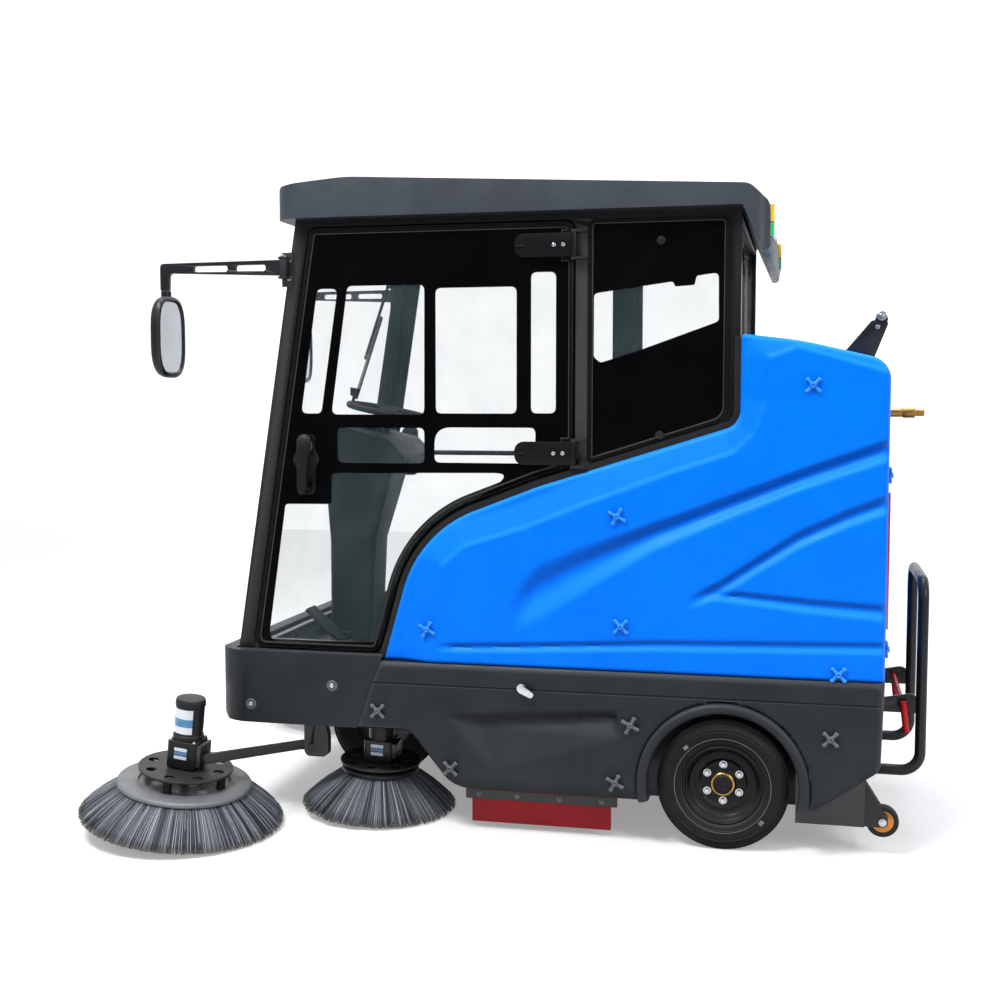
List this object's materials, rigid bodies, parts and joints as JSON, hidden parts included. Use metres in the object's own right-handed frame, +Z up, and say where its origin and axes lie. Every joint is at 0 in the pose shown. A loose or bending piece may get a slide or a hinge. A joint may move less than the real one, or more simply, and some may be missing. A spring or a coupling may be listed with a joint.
{
  "type": "ride-on sweeper",
  "caption": "Cab ride-on floor sweeper with side brushes, roller brush, pull-out hopper, doors, mirrors and moulded body panels.",
  "frame": {"origin": "middle of the overall box on the floor", "axes": "+X to the rear, -X the driving direction, -Y the machine's left side, +Z up"},
  "size_m": [2.7423, 2.243, 2.1389],
  "materials": {
    "frame_paint": "satin black paint",
    "cab_paint": "fine-textured dark grey paint",
    "dark_plastic": "moulded dark grey plastic",
    "blue_plastic": "glossy blue moulded plastic",
    "blue_knob": "blue moulded plastic",
    "dark_knob": "dark moulded plastic",
    "cab_glass": "clear glass with black printed border",
    "interior_plastic": "grained black plastic",
    "seat_vinyl": "black vinyl",
    "battery_case": "black case",
    "machine_grey": "cast, bead blasted",
    "tank_plastic": "natural polyethylene",
    "tyre": "black rubber",
    "rim_paint": "gloss black paint",
    "wheel_rubber": "black rubber on painted disc",
    "skirt_rubber": "red rubber",
    "motor_black": "semi-gloss black",
    "bristle": "grey nylon bristles",
    "main_bristle": "dark nylon bristles",
    "castor": "orange core with black tread",
    "latch_red": "red dipped grips on a steel shaft",
    "brass": "turned",
    "bracket_paint": "matt dark paint",
    "lens": "clear moulded lens",
    "bright_zinc": "bright zinc casting",
    "mirror_shell": "grained black plastic",
    "steering_rubber": "soft black rim",
    "pedal_rubber": "ribbed black rubber"
  },
  "bodies": {
    "chassis": {"chassis_frame": "frame_paint", "drive_units": "machine_grey", "front_bumper": "dark_plastic", "side_skirts": "skirt_rubber", "rear_hood": "blue_plastic", "blue_knobs": "blue_knob", "dark_knobs": "dark_knob", "cab_frame": "cab_paint", "roof": "dark_plastic", "cab_glass": "cab_glass", "steering_pedestal": "interior_plastic", "battery_pack": "battery_case", "vacuum_fan": "machine_grey", "water_tank": "tank_plastic", "quick_coupling": "brass", "hose_bracket": "bracket_paint", "lamps": "lens", "lower_cover_left": "dark_plastic", "lower_cover_right": "dark_plastic", "body_panel_left": "blue_plastic", "body_panel_right": "blue_plastic"},
    "wiper": {"wiper": "motor_black"},
    "steering_wheel": {"steering_wheel": "steering_rubber"},
    "foot_pedal": {"foot_pedal": "pedal_rubber"},
    "seat": {"seat_cushion": "seat_vinyl", "seat_back": "seat_vinyl"},
    "front_fork": {"front_fork": "frame_paint"},
    "front_wheel": {"front_wheel": "wheel_rubber"},
    "brush_cradle": {"brush_cradle": "frame_paint"},
    "main_brush": {"main_brush": "main_bristle"},
    "hopper": {"hopper": "bracket_paint", "push_handle": "frame_paint"},
    "hopper_latch": {"hopper_latch": "latch_red"},
    "side_latch": {"side_latch": "bright_zinc"},
    "rear_wheel_left": {"rear_tyre_left": "tyre", "rear_rim_left": "rim_paint"},
    "door_left": {"door_frame_left": "cab_paint", "door_glass_left": "cab_glass"},
    "door_handle_left": {"door_handle_left": "interior_plastic"},
    "mirror_arm_left": {"mirror_arm_left": "bracket_paint"},
    "mirror_head_left": {"mirror_head_left": "mirror_shell"},
    "front_arm_left": {"front_brush_arm_left": "frame_paint", "front_brush_motor_left": "motor_black"},
    "front_brush_left": {"front_brush_head_left": "bristle"},
    "mid_arm_left": {"mid_brush_arm_left": "frame_paint"},
    "mid_brush_left": {"mid_brush_head_left": "bristle"},
    "castor_left": {"castor_left": "castor"},
    "rear_wheel_right": {"rear_tyre_right": "tyre", "rear_rim_right": "rim_paint"},
    "door_right": {"door_frame_right": "cab_paint", "door_glass_right": "cab_glass"},
    "door_handle_right": {"door_handle_right": "interior_plastic"},
    "mirror_arm_right": {"mirror_arm_right": "bracket_paint"},
    "mirror_head_right": {"mirror_head_right": "mirror_shell"},
    "front_arm_right": {"front_brush_arm_right": "frame_paint", "front_brush_motor_right": "motor_black"},
    "front_brush_right": {"front_brush_head_right": "bristle"},
    "mid_arm_right": {"mid_brush_arm_right": "frame_paint"},
    "mid_brush_right": {"mid_brush_head_right": "bristle"},
    "castor_right": {"castor_right": "castor"}
  },
  "joints": [
    {"name": "wiper_sweep", "type": "hinge", "parent": "chassis", "child": "wiper", "pos_m": [-0.69215, 0.48, 1.88], "axis": [-0.9883, 0, 0.1527], "range_deg": [0, 50]},
    {"name": "fork_steer", "type": "hinge", "parent": "chassis", "child": "front_fork", "pos_m": [-0.57176, 0, 0.208], "axis": [0, 0, 1], "range_deg": [-36, 36]},
    {"name": "steering_wheel_turn", "type": "hinge", "parent": "chassis", "child": "steering_wheel", "pos_m": [-0.56176, 0, 1.378], "axis": [0.1908, 0, 0.9816], "range_deg": [-180, 180]},
    {"name": "front_wheel_spin", "type": "hinge", "parent": "front_fork", "child": "front_wheel", "pos_m": [-0.57176, 0, 0.208], "axis": [0, 1, 0], "continuous": true},
    {"name": "pedal_press", "type": "hinge", "parent": "chassis", "child": "foot_pedal", "pos_m": [-0.67176, -0.19, 0.522], "axis": [0, -1, 0], "range_deg": [0, 18], "stiffness_Nm_per_rad": 14, "springref_deg": -14.32},
    {"name": "seat_slide", "type": "slide", "parent": "chassis", "child": "seat", "axis": [1, 0, 0], "range_m": [-0.08, 0.06]},
    {"name": "cradle_lift", "type": "hinge", "parent": "chassis", "child": "brush_cradle", "pos_m": [-0.07176, 0, 0.35], "axis": [0, -1, 0], "range_deg": [0, 10]},
    {"name": "main_brush_spin", "type": "hinge", "parent": "brush_cradle", "child": "main_brush", "pos_m": [0.13824, 0, 0.162], "axis": [0, 1, 0], "continuous": true},
    {"name": "hopper_slide", "type": "slide", "parent": "chassis", "child": "hopper", "axis": [1, 0, 0], "range_m": [0, 0.85]},
    {"name": "hopper_latch_turn", "type": "hinge", "parent": "hopper", "child": "hopper_latch", "pos_m": [1.29324, 0, 0.418], "axis": [0, -1, 0], "range_deg": [0, 55]},
    {"name": "side_latch_turn", "type": "hinge", "parent": "chassis", "child": "side_latch", "pos_m": [0.09024, -0.65, 0.497], "axis": [0, 1, 0], "range_deg": [0, 90]},
    {"name": "rear_wheel_spin_left", "type": "hinge", "parent": "chassis", "child": "rear_wheel_left", "pos_m": [0.72824, -0.5725, 0.208], "axis": [0, 1, 0], "continuous": true},
    {"name": "door_swing_left", "type": "hinge", "parent": "chassis", "child": "door_left", "pos_m": [0.24624, -0.612, 1.5], "axis": [0, 0, 1], "range_deg": [0, 100]},
    {"name": "door_handle_pull_left", "type": "hinge", "parent": "door_left", "child": "door_handle_left", "pos_m": [-0.65776, -0.611, 1.122], "axis": [1, 0, 0], "range_deg": [0, 16], "stiffness_Nm_per_rad": 1.5, "springref_deg": -5.73},
    {"name": "mirror_arm_fold_left", "type": "hinge", "parent": "chassis", "child": "mirror_arm_left", "pos_m": [-0.72076, -0.622, 1.856], "axis": [0, 0, 1], "range_deg": [0, 80]},
    {"name": "mirror_head_turn_left", "type": "hinge", "parent": "mirror_arm_left", "child": "mirror_head_left", "pos_m": [-1.14376, -0.622, 1.631], "axis": [0, 0, 1], "range_deg": [-20, 20]},
    {"name": "front_arm_lift_left", "type": "hinge", "parent": "chassis", "child": "front_arm_left", "pos_m": [-0.65976, -0.56, 0.243], "axis": [0, 1, 0], "range_deg": [0, 10]},
    {"name": "front_brush_spin_left", "type": "hinge", "parent": "front_arm_left", "child": "front_brush_left", "pos_m": [-1.03676, -0.785, 0.05], "axis": [0.1219, -0.0519, 0.9912], "continuous": true},
    {"name": "mid_arm_lift_left", "type": "hinge", "parent": "chassis", "child": "mid_arm_left", "pos_m": [-0.20176, -0.425, 0.345], "axis": [0, 1, 0], "range_deg": [0, 10]},
    {"name": "mid_brush_spin_left", "type": "hinge", "parent": "mid_arm_left", "child": "mid_brush_left", "pos_m": [-0.46676, -0.425, 0.022], "axis": [0.0523, -0.0349, 0.998], "continuous": true},
    {"name": "castor_spin_left", "type": "hinge", "parent": "hopper", "child": "castor_left", "pos_m": [1.21824, -0.555, 0.112], "axis": [0, 1, 0], "continuous": true},
    {"name": "rear_wheel_spin_right", "type": "hinge", "parent": "chassis", "child": "rear_wheel_right", "pos_m": [0.72824, 0.5725, 0.208], "axis": [0, 1, 0], "continuous": true},
    {"name": "door_swing_right", "type": "hinge", "parent": "chassis", "child": "door_right", "pos_m": [0.24624, 0.612, 1.5], "axis": [0, 0, -1], "range_deg": [0, 100]},
    {"name": "door_handle_pull_right", "type": "hinge", "parent": "door_right", "child": "door_handle_right", "pos_m": [-0.65776, 0.611, 1.122], "axis": [-1, 0, 0], "range_deg": [0, 16], "stiffness_Nm_per_rad": 1.5, "springref_deg": -5.73},
    {"name": "mirror_arm_fold_right", "type": "hinge", "parent": "chassis", "child": "mirror_arm_right", "pos_m": [-0.72076, 0.622, 1.856], "axis": [0, 0, -1], "range_deg": [0, 80]},
    {"name": "mirror_head_turn_right", "type": "hinge", "parent": "mirror_arm_right", "child": "mirror_head_right", "pos_m": [-1.14376, 0.622, 1.631], "axis": [0, 0, -1], "range_deg": [-20, 20]},
    {"name": "front_arm_lift_right", "type": "hinge", "parent": "chassis", "child": "front_arm_right", "pos_m": [-0.65976, 0.56, 0.243], "axis": [0, 1, 0], "range_deg": [0, 10]},
    {"name": "front_brush_spin_right", "type": "hinge", "parent": "front_arm_right", "child": "front_brush_right", "pos_m": [-1.03676, 0.785, 0.05], "axis": [0.1219, 0.0519, 0.9912], "continuous": true},
    {"name": "mid_arm_lift_right", "type": "hinge", "parent": "chassis", "child": "mid_arm_right", "pos_m": [-0.20176, 0.425, 0.345], "axis": [0, 1, 0], "range_deg": [0, 10]},
    {"name": "mid_brush_spin_right", "type": "hinge", "parent": "mid_arm_right", "child": "mid_brush_right", "pos_m": [-0.46676, 0.425, 0.022], "axis": [0.0523, 0.0349, 0.998], "continuous": true},
    {"name": "castor_spin_right", "type": "hinge", "parent": "hopper", "child": "castor_right", "pos_m": [1.21824, 0.555, 0.112], "axis": [0, 1, 0], "continuous": true}
  ],
  "couplings": [
    {"joint": "steering_wheel_turn", "follows": "fork_steer", "ratio": 5}
  ]
}
